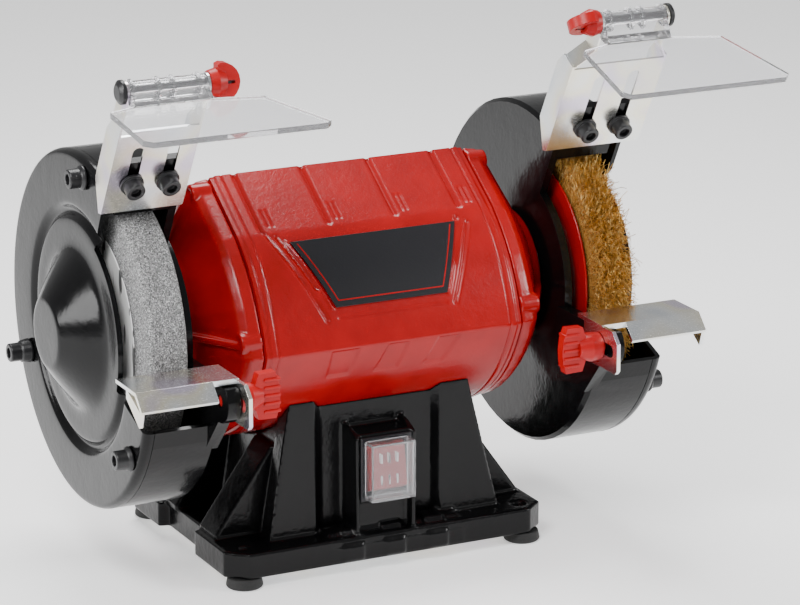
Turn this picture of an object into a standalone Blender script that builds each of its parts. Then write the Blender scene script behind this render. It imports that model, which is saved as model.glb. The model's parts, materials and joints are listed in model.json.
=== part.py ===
"""Bench grinder: grinding wheel on the left, wire brush wheel on the right.

Units are metres, +Z is up, +X is to the operator's right and -Y is the front.
Everything is placed from the motor's centre line: the shaft runs along X at SHAFT_Z,
and the empty "machine" moves the whole tool so that the origin lies on the bench,
under the middle of its outline.
"""
import math

import bmesh
import bpy
from mathutils import Matrix, Vector

for old in list(bpy.data.objects):
    bpy.data.objects.remove(old, do_unlink=True)

# ---------------------------------------------------------------- driving dimensions
ORIGIN_SHIFT = Vector((-0.0140, 0.0208, 0.0))   # bench origin to motor centre
SHAFT_Z = 0.131          # shaft above the bench
GAP = 0.0003             # between pieces that touch
SHEET = 0.0012           # bracket steel
WALL = 0.003             # moulded and cast walls

WHEEL_R = 0.075
WHEEL_IN = 0.117         # distance of the wheel's motor side from the motor's middle
WHEEL_OUT = 0.137
GUARD_R = 0.093
GUARD_IN = 0.1062        # guard's motor side
DRUM_END = 0.141         # where the guard's drum meets its cover
COVER_OUT = 0.147        # cover's flat face
WINDOW_R = 0.055         # the guard is cut away outside this radius, at the front
WINDOW_LOW = -19.5       # degrees above the forward direction
WINDOW_HIGH = 62.0

HOUSING_HALF = 0.073     # half length of the red housing
RIDGE_Z = 0.072          # top ridge above the shaft
SHOULDER = (0.0353, 0.0486)
WAIST = (0.069, -0.001)
FACET_BOW = 0.0045       # how far the upper front bows out between shoulder and waist
LEDGE = (0.071, -0.007)
BELLY_Z = -0.068
BADGE_X = 0.0005         # middle of the badge on the upper front
BELL_END = 0.1033        # outer face of an end bell
BEARING = (0.084, 0.096)

PLATE_X = 0.0915         # base plate, half length
PLATE_FRONT = -0.0655
PLATE_BACK = 0.074
PLATE_BOTTOM = 0.006
PLATE_TOP = 0.0196
FOOT_X = 0.0805
FOOT_FRONT = -0.057
FOOT_BACK = 0.0655

REST_IN = 0.1020         # the rest's motor side
REST_TOP = 0.1275
REST_BACK = -0.0766
REST_DEPTH = 0.0255
NOTCH_END = 0.116        # where the rest's table starts to reach its full depth
KNOB_Y = -0.099
KNOB_Z = 0.116

SWITCH_X = -0.0028
SWITCH_Z = 0.055
BAY_FRONT = -0.0620

SEGMENTS = 48

# One entry for each side: what differs between the wheel's and the brush's spark guard.
SPARK_GUARD = {
    "left": dict(side=-1, angle=60.0, inner=0.1047, outer=0.1485, low=0.0815, high=0.133,
                 slots=(0.117, 0.136), slot=(0.0925, 0.1245), rod=0.158, arms=(0.1047, 0.1485),
                 screw_r=0.101, shield_x=-0.162, shield_drop=0.0036, shield_tilt=6.7),
    "right": dict(side=1, angle=61.0, inner=0.1008, outer=0.1562, low=0.0865, high=0.142,
                  slots=(0.120, 0.140), slot=(0.093, 0.135), rod=0.1685, arms=(0.1113, 0.1507),
                  screw_r=0.1005, shield_x=0.096, shield_drop=0.0062, shield_tilt=18.5),
}
ROD_BEHIND = 0.0055      # pivot rod behind the bracket's front face
ROD_R = 0.0026
WING = 0.0055            # thickness of a clamping knob's wing


# ---------------------------------------------------------------- helpers
def material(name, colour, roughness, metallic=0.0):
    """A Principled material."""
    made = bpy.data.materials.new(name)
    made.use_nodes = True
    shader = made.node_tree.nodes["Principled BSDF"]
    shader.inputs["Base Color"].default_value = (*colour, 1.0)
    shader.inputs["Roughness"].default_value = roughness
    shader.inputs["Metallic"].default_value = metallic
    return made


def empty(name, parent=None, location=(0, 0, 0), rotation=(0, 0, 0)):
    made = bpy.data.objects.new(name, None)
    made.parent = parent
    made.location = location
    made.rotation_euler = rotation
    bpy.context.scene.collection.objects.link(made)
    return made


def add(name, mesh_data, finish, parent, location=(0, 0, 0), rotation=(0, 0, 0)):
    """Turn a bmesh into a named object with its faces pointing out."""
    bmesh.ops.recalc_face_normals(mesh_data, faces=mesh_data.faces)
    mesh = bpy.data.meshes.new(name)
    mesh_data.to_mesh(mesh)
    mesh_data.free()
    made = bpy.data.objects.new(name, mesh)
    bpy.context.scene.collection.objects.link(made)
    made.parent = parent
    made.location = location
    made.rotation_euler = rotation
    if finish:
        mesh.materials.append(finish)
    mesh.shade_smooth()
    mesh.set_sharp_from_angle(angle=math.radians(30))
    return made


def helper(mesh_data, target, operation):
    """Join a shape to the target, or cut it out, with a hidden partner object."""
    partner = add(target.name + "_" + operation.lower(), mesh_data, None, target.parent,
                  target.location, target.rotation_euler)
    partner.hide_render = True
    partner.display_type = "WIRE"
    boolean = target.modifiers.new(operation.title(), "BOOLEAN")
    boolean.operation = operation
    boolean.object = partner
    return partner


def cut(target, mesh_data):
    return helper(mesh_data, target, "DIFFERENCE")


def join(target, mesh_data):
    return helper(mesh_data, target, "UNION")


def arc(centre, radius, start, end, steps):
    """Points along an arc; the angles are in degrees."""
    points = []
    for i in range(steps + 1):
        a = math.radians(start + (end - start) * i / steps)
        points.append((centre[0] + radius * math.cos(a), centre[1] + radius * math.sin(a)))
    return points


def bow(start, end, sagitta):
    """Centre, radius and end angles of the arc from start to end that bows out to the right."""
    a, b = Vector(start), Vector(end)
    half = (b - a).length / 2
    radius = (half * half + sagitta * sagitta) / (2 * sagitta)
    along = (b - a).normalized()
    out = Vector((along.y, -along.x))
    centre = (a + b) / 2 - out * (radius - sagitta)
    facing = math.degrees(math.atan2(out.y, out.x))
    sweep = math.degrees(math.asin(half / radius))
    return centre, radius, facing - sweep, facing + sweep


def prism(outline, axis, start, end):
    """Extrude a flat outline along X, Y or Z. The outline holds the other two coordinates."""
    place = {"x": lambda p, d: (d, p[0], p[1]),
             "y": lambda p, d: (p[0], d, p[1]),
             "z": lambda p, d: (p[0], p[1], d)}[axis]
    shape = bmesh.new()
    face = shape.faces.new([shape.verts.new(place(p, start)) for p in outline])
    grown = bmesh.ops.extrude_face_region(shape, geom=[face])
    tops = [item for item in grown["geom"] if isinstance(item, bmesh.types.BMVert)]
    bmesh.ops.translate(shape, verts=tops, vec=place((0, 0), end - start))
    return shape


def box(x, y, z):
    """A box from three (low, high) pairs."""
    return prism([(x[0], y[0]), (x[1], y[0]), (x[1], y[1]), (x[0], y[1])], "z", z[0], z[1])


def slot(centre_a, centre_b, radius, steps=6):
    """Outline of a slot with round ends, whose centres share one coordinate."""
    a, b = Vector(centre_a), Vector(centre_b)
    heading = math.degrees(math.atan2(b.y - a.y, b.x - a.x))
    return (arc(b, radius, heading - 90, heading + 90, steps)
            + arc(a, radius, heading + 90, heading + 270, steps))


def circle(centre, radius, steps):
    return arc(centre, radius, 0, 360 - 360 / steps, steps - 1)


def turned(profile, axis="x", steps=SEGMENTS):
    """Turn a closed profile of (position along the axis, radius) right round the axis."""
    shape = bmesh.new()
    rings = []
    for along, radius in profile:
        ring = []
        count = 1 if radius == 0 else steps
        for i in range(count):
            a = 2 * math.pi * i / steps
            c, s = radius * math.cos(a), radius * math.sin(a)
            ring.append(shape.verts.new({"x": (along, -c, s), "y": (s, along, c),
                                         "z": (c, s, along)}[axis]))
        rings.append(ring)
    bridge_rings(shape, rings, steps)
    return shape


def bridge_rings(shape, rings, steps):
    """Faces between each ring and the next, and from the last back to the first."""
    for ring, after in zip(rings, rings[1:] + rings[:1]):
        if len(ring) == 1 and len(after) == 1:
            continue
        for i in range(steps):
            j = (i + 1) % steps
            corners = [ring[i % len(ring)], ring[j % len(ring)],
                       after[j % len(after)], after[i % len(after)]]
            unique = list(dict.fromkeys(corners))
            shape.faces.new(unique)


def window(x_in, x_out):
    """The wedge that opens a guard or a cover towards the operator."""
    far = GUARD_R + 0.02
    outline = arc((0, 0), WINDOW_R, WINDOW_LOW, WINDOW_HIGH, 12)
    outline += reversed(arc((0, 0), far, WINDOW_LOW, WINDOW_HIGH, 6))
    return prism([(-forward, up) for forward, up in outline], "x", x_in, x_out)


# ---------------------------------------------------------------- materials
RED = material("red housing", (0.55, 0.012, 0.018), 0.35)
RED_KNOB = material("red knob", (0.62, 0.015, 0.02), 0.45)
BLACK = material("black base", (0.012, 0.012, 0.013), 0.25)
GUARD_BLACK = material("black guard", (0.02, 0.02, 0.022), 0.3)
BOLT_BLACK = material("black oxide", (0.02, 0.02, 0.02), 0.4, 1.0)
ZINC = material("zinc plate", (0.72, 0.74, 0.75), 0.3, 1.0)
STEEL = material("bright steel", (0.6, 0.6, 0.6), 0.3, 1.0)
LAMINATION = material("laminated iron", (0.25, 0.25, 0.26), 0.5, 1.0)
COPPER = material("copper", (0.8, 0.35, 0.18), 0.4, 1.0)
STONE = material("grinding stone", (0.33, 0.34, 0.33), 0.95)
PAPER = material("paper label", (0.85, 0.85, 0.85), 0.8)
BRASS = material("brass wire", (0.75, 0.5, 0.15), 0.4, 1.0)
CLEAR = material("clear polycarbonate", (0.9, 0.92, 0.93), 0.05)
RUBBER = material("rubber", (0.02, 0.02, 0.02), 0.8)
GREY_CAN = material("capacitor can", (0.6, 0.6, 0.62), 0.5)

machine = empty("machine", location=ORIGIN_SHIFT)
axle = empty("axle", machine, (0, 0, SHAFT_Z))


# ---------------------------------------------------------------- housing and motor
def housing_outline():
    """Cross-section of the housing about the shaft, as (forward, up), all the way round."""
    ridge, shoulder = Vector((0, RIDGE_Z)), Vector(SHOULDER)
    roof = [tuple(ridge.lerp(shoulder, step / 4)) for step in range(4)]
    front = roof + [SHOULDER] + arc(*bow(WAIST, SHOULDER, FACET_BOW), 6)[-2:0:-1]
    front += [WAIST, LEDGE] + arc(*bow((0, BELLY_Z), LEDGE, 0.012), 8)[-2:0:-1]
    back = [(-forward, up) for forward, up in reversed(front[1:])]
    return front + [(0, BELLY_Z)] + back


def lofted(sections):
    """Closed loop of sections (x, radius, share): share 1 follows the housing's outline,
    scaled by the radius, and share 0 is a circle of that radius."""
    outline = housing_outline()
    shape = bmesh.new()
    rings = []
    for x, radius, share in sections:
        ring = []
        for forward, up in outline:
            reach = math.hypot(forward, up)
            size = share * radius + (1 - share) * radius / reach
            ring.append(shape.verts.new((x, -forward * size, up * size)))
        rings.append(ring)
    bridge_rings(shape, rings, len(outline))
    return shape


def solid_housing(half, scale):
    """The housing's outline as a solid bar, for cutting its seat."""
    return prism([(-f * scale, u * scale) for f, u in housing_outline()], "x", -half, half)


def motor_housing():
    inner = 1 - WALL / 0.066
    add("motor_housing", lofted([(-HOUSING_HALF, 1, 1), (HOUSING_HALF, 1, 1),
                                 (HOUSING_HALF, inner, 1), (-HOUSING_HALF, inner, 1)]), RED, axle)


def end_bell(name, side):
    """A cupped end shield: rim, cone, flat end face, shaft bore and bearing seat."""
    rim = HOUSING_HALF + GAP
    hub = 0.0815
    sections = [(rim, 0.985, 1), (0.080, 0.975, 1), (0.0838, 0.93, 1), (0.097, 0.038, 0),
                (BELL_END, 0.034, 0), (BELL_END, 0.008, 0), (hub, 0.008, 0), (hub, 0.028, 0),
                (0.0915, 0.028, 0), (0.0930, 0.033, 0), (0.0800, 0.885, 1), (0.0782, 0.925, 1),
                (rim, 0.935, 1)]
    bell = add(name, lofted([(side * x, r, share) for x, r, share in sections]), RED, axle)
    seat = [(hub - 0.001, 0), (hub - 0.001, 0.0214), (BEARING[1] + 0.0006, 0.0214),
            (BEARING[1] + 0.0006, 0.0105), (BELL_END + 0.001, 0.0105), (BELL_END + 0.001, 0)]
    cut(bell, turned([(side * x, r) for x, r in seat], steps=28))


def motor_inside():
    add("stator_core", turned([(-0.022, 0.030), (0.022, 0.030), (0.022, 0.054), (-0.022, 0.054)],
                              steps=36), LAMINATION, axle)
    for name, side in (("winding_left", -1), ("winding_right", 1)):
        ring = [(0.0225, 0.034), (0.032, 0.034), (0.036, 0.037), (0.036, 0.043),
                (0.032, 0.047), (0.0225, 0.047)]
        add(name, turned([(side * x, r) for x, r in ring], steps=28), COPPER, axle)
    add("rotor_core", turned([(-0.022, 0.0093), (0.022, 0.0093), (0.022, 0.0285), (-0.022, 0.0285)],
                             steps=28), LAMINATION, axle)
    half = [(0.151, 0), (0.151, 0.0055), (0.1505, 0.006), (0.1095, 0.006), (0.1095, 0.0085),
            (0.080, 0.0085), (0.080, 0.009)]
    shaft = half + [(-x, r) for x, r in reversed(half)]
    add("shaft", turned(shaft, steps=24), STEEL, axle)
    for name, side in (("left", -1), ("right", 1)):
        near, far = (side * x for x in BEARING)
        add("bearing_outer_" + name, turned([(near, 0.0178), (far, 0.0178), (far, 0.021),
                                             (near, 0.021)], steps=28), STEEL, axle)
        add("bearing_inner_" + name, turned([(near, 0.0088), (far, 0.0088), (far, 0.0128),
                                             (near, 0.0128)], steps=28), STEEL, axle)


# ---------------------------------------------------------------- base
def plate_outline(inset=0.0):
    """Base plate seen from above: chamfered corner blocks with a waist on each side."""
    x, waist = PLATE_X - inset, PLATE_X - 0.0055 - inset
    front, back = PLATE_FRONT + inset, PLATE_BACK - inset
    right = [(x - 0.0105, front), (x, front + 0.0095), (x, -0.018 - inset), (waist, -0.0165 - inset),
             (waist, 0.0285 + inset), (x, 0.030 + inset), (x, back - 0.0095), (x - 0.0105, back)]
    return right + [(-px, py) for px, py in reversed(right)]


def tapered(bottom, top, low, high):
    """Loft between two outlines with the same number of points, seen from above."""
    shape = bmesh.new()
    rings = [[shape.verts.new((x, y, z)) for x, y in outline] for outline, z in ((bottom, low), (top, high))]
    for i in range(len(bottom)):
        j = (i + 1) % len(bottom)
        shape.faces.new((rings[0][i], rings[0][j], rings[1][j], rings[1][i]))
    shape.faces.new(rings[0])
    shape.faces.new(rings[1])
    return shape


def rectangle(half_x, half_y):
    return [(-half_x, -half_y), (half_x, -half_y), (half_x, half_y), (-half_x, half_y)]


def column(outer_low, outer_high, inner, end):
    """One of the pedestal's corner columns; its inner edge is bevelled back to the panel."""
    step = math.copysign(0.005, -inner)
    rear = 0.040 * end

    def outline(outer, front):
        return [(outer, rear), (outer, front * end), (inner, front * end),
                (inner + step, (front - 0.005) * end), (inner + step, rear)]

    return tapered(outline(outer_low, 0.0525), outline(outer_high, 0.0515), PLATE_TOP - 0.001, 0.0955)


def front_steps(base):
    """Stepped band along the middle of the plate's front edge, with three blocks on it."""
    spans = [(-0.0345, 0.0415, 0.0)]
    spans += [(x, x + 0.0113, 0.0012) for x in (-0.0281, -0.0043, 0.0204)]
    for left, right, proud in spans:
        face = PLATE_FRONT - 0.0004 - proud
        profile = [(-0.050, 0.0075), (face, 0.0075), (face, 0.0150), (face + 0.0065, 0.0215 + proud),
                   (-0.050, 0.0215 + proud)]
        join(base, prism(profile, "x", left, right))


def switch_bay(base):
    """Two upright fins with a block between them that carries the switch."""
    for side in (-1, 1):
        fin = [(-0.044, 0.0190), (-0.0640, 0.0190), (-0.0640, 0.0725), (-0.0540, 0.0765), (-0.044, 0.0765)]
        join(base, prism(fin, "x", SWITCH_X + side * 0.0148, SWITCH_X + side * 0.0172))
    join(base, box((SWITCH_X - 0.015, SWITCH_X + 0.015), (BAY_FRONT, -0.044), (0.036, 0.0735)))
    low_panel = [(-0.044, 0.019), (BAY_FRONT + 0.0035, 0.019), (BAY_FRONT + 0.0035, 0.037), (-0.044, 0.037)]
    join(base, prism(low_panel, "x", SWITCH_X - 0.015, SWITCH_X + 0.015))
    cut(base, box((SWITCH_X - 0.0133, SWITCH_X + 0.0133), (-0.070, -0.036),
                  (SWITCH_Z - 0.0153, SWITCH_Z + 0.0153)))


def base_casting():
    """Plate, pedestal, ramps and switch bay; hollow from below, with a saddle for the housing."""
    base = add("base_casting", prism(plate_outline(), "z", PLATE_BOTTOM, PLATE_TOP), BLACK, machine)
    join(base, tapered(rectangle(0.062, 0.0475), rectangle(0.0485, 0.0470), PLATE_TOP - 0.002, 0.096))
    for end in (-1, 1):
        join(base, column(-0.0640, -0.0515, -0.0375, end))
        join(base, column(0.0690, 0.0500, 0.0348, end))
    for side in (-1, 1):
        for near, far in ((-0.0375, -0.0155), (0.0155, 0.0375)):
            ramp = [(side * 0.045, 0.0185), (side * 0.0878, 0.0185), (side * 0.0878, 0.0215),
                    (side * 0.0560, 0.066), (side * 0.045, 0.066)]
            join(base, prism(ramp, "y", near, far))
    front_steps(base)
    switch_bay(base)
    saddle = solid_housing(0.074, 1.0 + GAP / 0.06)
    bmesh.ops.translate(saddle, verts=saddle.verts, vec=(0, 0, SHAFT_Z))
    cut(base, saddle)
    cut(base, prism(plate_outline(WALL), "z", PLATE_BOTTOM - 0.001, PLATE_TOP - WALL))
    cut(base, tapered(rectangle(0.058, 0.0435), rectangle(0.0525, 0.0435), PLATE_TOP - WALL - 0.001, 0.0565))
    cable_hole = turned([(0.040, 0), (0.040, 0.0065), (0.060, 0.0065), (0.060, 0)], "y", 20)
    bmesh.ops.translate(cable_hole, verts=cable_hole.verts, vec=(0, 0, 0.036))
    cut(base, cable_hole)
    for side in (-1, 1):
        for y in (FOOT_FRONT + 0.002, FOOT_BACK - 0.002):
            recess = prism(circle((side * (FOOT_X - 0.001), y), 0.0042, 16), "z", 0.0175, 0.03)
            cut(base, recess)


def under_base():
    bottom = prism(plate_outline(WALL + 0.0004), "z", PLATE_BOTTOM + 0.0003, PLATE_BOTTOM + 0.0018)
    add("bottom_plate", bottom, ZINC, machine)
    foot = [(0, 0), (0, 0.0088), (0.001, 0.0098), (PLATE_BOTTOM - GAP, 0.0088), (PLATE_BOTTOM - GAP, 0)]
    for end, y in (("front", FOOT_FRONT), ("rear", FOOT_BACK)):
        for name, side in (("left", -1), ("right", 1)):
            add(f"foot_{end}_{name}", turned(foot, "z", 24), RUBBER, machine, (side * FOOT_X, y, 0))
    can = [(-0.026, 0), (-0.026, 0.0125), (0.024, 0.0125), (0.026, 0.0105), (0.026, 0)]
    add("capacitor", turned(can, "x", 24), GREY_CAN, machine, (-0.012, 0.020, 0.034))
    gland = [(0.0375, 0.004), (0.064, 0.004), (0.066, 0.0055), (0.066, 0.0075), (0.0485, 0.0095),
             (0.0479, 0.0095), (0.0479, 0.0062), (0.0431, 0.0062), (0.0431, 0.0085), (0.0375, 0.0085)]
    add("cable_gland", turned(gland, "y", 20), BLACK, machine, (0, 0, 0.036))


# ---------------------------------------------------------------- switch
def switch():
    """Rocker switch: bezel with a sleeve through the panel, rocker and clear splash cover."""
    front = BAY_FRONT - GAP
    hole_x, hole_z = 0.0107, 0.0134
    centre = (SWITCH_X, 0, SWITCH_Z)
    bezel = add("switch_bezel", box((-0.0145, 0.0145), (front - 0.002, front), (-0.0170, 0.0170)),
                BLACK, machine, centre)
    join(bezel, box((-0.013, 0.013), (front - 0.001, -0.044), (-0.015, 0.015)))
    cut(bezel, box((-hole_x, hole_x), (front - 0.003, -0.0465), (-hole_z, hole_z)))
    reach = hole_z - 0.0004
    rocker = arc((0, 0), reach, 228, 262, 4) + [(0.006, -0.0085), (0.006, 0.0085)]
    rocker += arc((0, 0), reach, 80, 114, 4) + [(-0.0073, 0.0)]
    pivot = (SWITCH_X, BAY_FRONT + 0.003, SWITCH_Z)
    add("switch_rocker", prism(rocker, "x", -0.0103, 0.0103), RED_KNOB, machine, pivot)
    back = front - 0.002 - GAP
    cover = add("switch_cover", box((-0.0126, 0.0126), (back - 0.0085, back), (-0.0155, 0.0155)),
                CLEAR, machine, centre)
    cut(cover, box((-0.0114, 0.0114), (back - 0.0073, back + 0.001), (-0.0143, 0.0143)))


# ---------------------------------------------------------------- guards and covers
def wheel_guard(name, side):
    """Inner plate and drum, cut open at the front, with the spark-guard tab and the rest's lug."""
    spark = SPARK_GUARD["left" if side < 0 else "right"]
    drum_in = GUARD_R - 0.0025
    plate = GUARD_IN + 0.0043
    loop = [(GUARD_IN, 0.028), (GUARD_IN, GUARD_R - 0.002), (GUARD_IN + 0.002, GUARD_R),
            (DRUM_END, GUARD_R), (DRUM_END, drum_in), (plate, drum_in), (plate, 0.028)]
    guard = add(name, turned([(side * x, r) for x, r in loop], steps=56), GUARD_BLACK, axle)
    cut(guard, window(side * (GUARD_IN - 0.01), side * (DRUM_END + 0.01)))

    tilt = Matrix.Rotation(math.radians(90 - spark["angle"]), 4, "X")
    edge = drum_in + 0.0035
    tab_outline = [(GUARD_IN + 0.002, 0.078), (DRUM_END - 0.0005, 0.078), (DRUM_END - 0.0005, edge),
                   (COVER_OUT - 0.0015, edge), (COVER_OUT - 0.0015, 0.113), (GUARD_IN + 0.002, 0.113)]
    tab = prism([(side * x, r) for x, r in tab_outline], "y", 0.0016, 0.0055)
    bmesh.ops.transform(tab, matrix=tilt, verts=tab.verts)
    join(guard, tab)
    for x in spark["slots"]:
        hole = prism(circle((side * x, spark["screw_r"]), 0.0029, 16), "y", -0.005, 0.02)
        bmesh.ops.transform(hole, matrix=tilt, verts=hole.verts)
        cut(guard, hole)

    lug_z = KNOB_Z - SHAFT_Z
    lug_top = REST_TOP - SHAFT_Z - 0.0036
    lug = [(-0.0505, -0.028), (-0.070, -0.046), (-0.080, -0.046), (-0.097, -0.0265)]
    lug += arc((KNOB_Y, lug_z), 0.0112, -75, -225, 9) + [(-0.0505, lug_top)]
    join(guard, prism(lug, "x", side * 0.1044, side * 0.1112))
    cut(guard, prism(circle((KNOB_Y, lug_z), 0.0033, 16), "x", side * 0.10, side * 0.12))


def guard_cover(name, side):
    """Dished cover: rim wall, flat ring, groove, plateau and the cone over the nut."""
    skin = 0.0022
    outside = [(DRUM_END + GAP, GUARD_R), (COVER_OUT - 0.0015, GUARD_R), (COVER_OUT, GUARD_R - 0.0015),
               (COVER_OUT, 0.0655), (COVER_OUT - 0.0035, 0.0615), (COVER_OUT - 0.0035, 0.0595),
               (COVER_OUT - 0.0002, 0.0565), (COVER_OUT - 0.0002, 0.043), (COVER_OUT + 0.003, 0.0385),
               (0.1625, 0.0205), (0.164, 0.0185), (0.164, 0)]
    inside = [(0.164 - skin, 0), (0.164 - skin, 0.0172), (0.161, 0.0185), (COVER_OUT + 0.001, 0.0365),
              (COVER_OUT - skin, 0.041), (COVER_OUT - skin, 0.0555), (DRUM_END + 0.0004, 0.0575),
              (DRUM_END + 0.0004, 0.0625), (COVER_OUT - skin, 0.0665), (COVER_OUT - skin, GUARD_R - skin),
              (DRUM_END + GAP, GUARD_R - skin)]
    cover = add(name, turned([(side * x, r) for x, r in outside + inside], steps=56), GUARD_BLACK, axle)
    cut(cover, window(side * (DRUM_END - 0.01), side * 0.18))


COVER_SCREWS = {"top": (80.0, 0.0845, 0.0), "rear": (203.5, 0.0745, 0.0034), "lower": (-35.0, 0.0845, 0.0)}


def cover_screws(name, side):
    """Cap screws with a flange, on the cover's flat ring."""
    for place, (angle, radius, lift) in COVER_SCREWS.items():
        a = math.radians(angle)
        foot = COVER_OUT + GAP
        head = foot + 0.0025 + lift
        loop = [(foot, 0), (foot, 0.0062), (foot + 0.001, 0.0065), (head - 0.0005, 0.0058), (head, 0.005),
                (head + 0.0055, 0.005), (head + 0.006, 0.0045), (head + 0.006, 0.0027),
                (head + 0.0025, 0.0027), (head + 0.0025, 0)]
        add(f"cover_screw_{place}_{name}", turned([(side * x, r) for x, r in loop], steps=18),
            BOLT_BLACK, axle, (0, -radius * math.cos(a), radius * math.sin(a)))


# ---------------------------------------------------------------- spark guards and eye shields
def spark_bracket(name, spark, frame):
    """Bent sheet bracket: slotted front plate and two arms up to the pivot rod.

    In the bracket's frame X runs along the shaft, Y points behind the plate
    and Z points away from the shaft."""
    side, low, high, rod = spark["side"], spark["low"], spark["high"], spark["rod"]
    x_in, x_out = side * spark["inner"], side * spark["outer"]
    bracket = add(name, box(sorted((x_in, x_out)), (0, SHEET), (low, high)), ZINC, frame)
    for edge, arm, inward in ((x_in, side * spark["arms"][0], side), (x_out, side * spark["arms"][1], -side)):
        flange = [(0.0, low), (0.003, low - 0.002), (0.0145, low + 0.012), (0.0145, high - 0.006),
                  (0.011, high + 0.002), (0.0, high + 0.002)]
        join(bracket, prism(flange, "x", edge, edge + inward * SHEET))
        joggle = [(edge, high), (arm, high + 0.010), (arm + inward * SHEET, high + 0.010),
                  (edge + inward * SHEET, high)]
        join(bracket, prism(joggle, "y", 0.0, 0.011))
        end = [(0.0, high + 0.009), (0.011, high + 0.009)]
        end += arc((ROD_BEHIND, rod), ROD_BEHIND, 0, 180, 8)
        join(bracket, prism(end, "x", arm, arm + inward * SHEET))
    for x in spark["slots"]:
        cut(bracket, prism(slot((side * x, spark["slot"][0] + 0.003), (side * x, spark["slot"][1] - 0.003),
                                0.003), "y", -0.004, 0.006))
    reach = sorted((side * 0.09, side * 0.17))
    cut(bracket, prism(circle((ROD_BEHIND, rod), ROD_R + GAP, 16), "x", reach[0], reach[1]))


def bracket_screws(name, spark, frame):
    """Cap screws with washers that clamp the bracket to the guard's tab."""
    loop = [(0.012, 0), (0.012, 0.0025), (-GAP, 0.0025), (-GAP, 0.0062), (-0.0019, 0.0062),
            (-0.0019, 0.005), (-0.0074, 0.005), (-0.0079, 0.0045), (-0.0079, 0.0027), (-0.005, 0.0027),
            (-0.005, 0)]
    for place, x in zip(("inner", "outer"), spark["slots"]):
        add(f"bracket_screw_{place}_{name}", turned(loop, "y", 18), BOLT_BLACK, frame,
            (spark["side"] * x, 0, spark["screw_r"]))


def shield_plate(spark, top, thick):
    """The clear plate's outline: a tongue as wide as the barrel, slanted shoulders, and a right
    edge that slants out. Distances forward are from the pivot."""
    left = spark["shield_x"]
    tongue = sorted(spark["side"] * arm for arm in spark["arms"])
    tongue_back, shoulder, front = 0.0112, 0.0152, 0.0612
    outline = [(tongue[0], -tongue_back), (left + 0.001, -shoulder), (left, -shoulder - 0.001),
               (left, -front + 0.004), (left + 0.004, -front), (left + 0.094, -front),
               (left + 0.0975, -front + 0.0035), (left + 0.081, -shoulder), (tongue[1], -tongue_back)]
    return prism(outline, "z", top - thick, top)


def eye_shield(name, spark, pivot):
    """Clear shield on its pivot: barrel round the rod, web and plate.

    In the pivot's frame -Y points forward along the plate."""
    side = spark["side"]
    barrel_in = side * (spark["arms"][0] + SHEET + GAP)
    barrel_out = side * (spark["arms"][1] - SHEET - GAP)
    ends = sorted((barrel_in, barrel_out))
    shield = add(name, shield_plate(spark, -spark["shield_drop"], 0.003), CLEAR, pivot)
    low = -spark["shield_drop"] - 0.0025
    join(shield, prism([(0, 0.0045), (-0.0045, 0.002), (-0.013, low + 0.002), (-0.013, low), (-0.002, low),
                        (0.002, -0.0045)], "x", ends[0], ends[1]))
    join(shield, prism(circle((0, 0), 0.005, 20), "x", ends[0], ends[1]))
    cut(shield, prism(circle((0, 0), ROD_R + GAP, 20), "x", ends[0] - 0.001, ends[1] + 0.001))


def shield_bolt(name, spark, frame):
    side = spark["side"]
    cap = spark["arms"][1] + GAP
    tip = spark["arms"][0] - 0.012
    loop = [(tip, 0), (tip, ROD_R), (cap, ROD_R), (cap, 0.0062), (cap + 0.002, 0.0062), (cap + 0.0035, 0.004),
            (cap + 0.0035, 0)]
    add(name, turned([(side * x, r) for x, r in loop], steps=20), BOLT_BLACK, frame,
        (0, ROD_BEHIND, spark["rod"]))


def knob_wing(outline):
    """The flat wing of a clamping knob, from its outline seen from the side."""
    return prism(outline, "y", -WING / 2, WING / 2)


def shield_knob(name, parent):
    """Clamping knob threaded on the pivot rod's end. In its frame X points off the rod."""
    bore = ROD_R + GAP
    body = [(0, 0), (0, 0.0062), (0.0040, 0.0072), (0.0085, 0.0055), (0.0085, 0)]
    knob = add(name, turned(body, steps=20), RED_KNOB, parent)
    join(knob, knob_wing([(0.0042, -0.0092)] + arc((0.0062, 0), 0.0101, -90, 90, 10) + [(0.0042, 0.0092)]))
    cut(knob, prism(circle((0, 0), bore, 16), "x", -0.001, 0.0135))


def rest_knob(name, parent):
    """Clamping knob with its own stud, which points along -X in the knob's frame."""
    body = [(-0.0085, 0), (-0.0085, 0.003), (0, 0.003), (0, 0.0072), (0.0060, 0.0076),
            (0.0125, 0.0050), (0.0125, 0)]
    knob = add(name, turned(body, steps=20), RED_KNOB, parent)
    join(knob, knob_wing([(0.0085, -0.0060), (0.0105, -0.0118), (0.0200, -0.0121), (0.0218, -0.0060),
                          (0.0222, 0.0), (0.0215, 0.0065), (0.0195, 0.0121), (0.0105, 0.0118),
                          (0.0085, 0.0060)]))


def spark_guard(name, spark):
    """Everything that hangs on one guard's tab."""
    tilt = math.radians(90 - spark["angle"])
    frame = empty("spark_slide_" + name, axle, rotation=(tilt, 0, 0))
    spark_bracket("spark_bracket_" + name, spark, frame)
    bracket_screws(name, spark, frame)
    shield_bolt("shield_bolt_" + name, spark, frame)
    pivot = empty("shield_pivot_" + name, frame, (0, ROD_BEHIND, spark["rod"]),
                  (math.radians(spark["shield_tilt"]) - tilt, 0, 0))
    eye_shield("eye_shield_" + name, spark, pivot)
    flip = math.pi if spark["side"] > 0 else 0.0
    turn = empty("shield_knob_turn_" + name, frame,
                 (spark["side"] * (spark["arms"][0] - GAP), ROD_BEHIND, spark["rod"]), (-tilt, 0, flip))
    shield_knob("shield_knob_" + name, turn)


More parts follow.
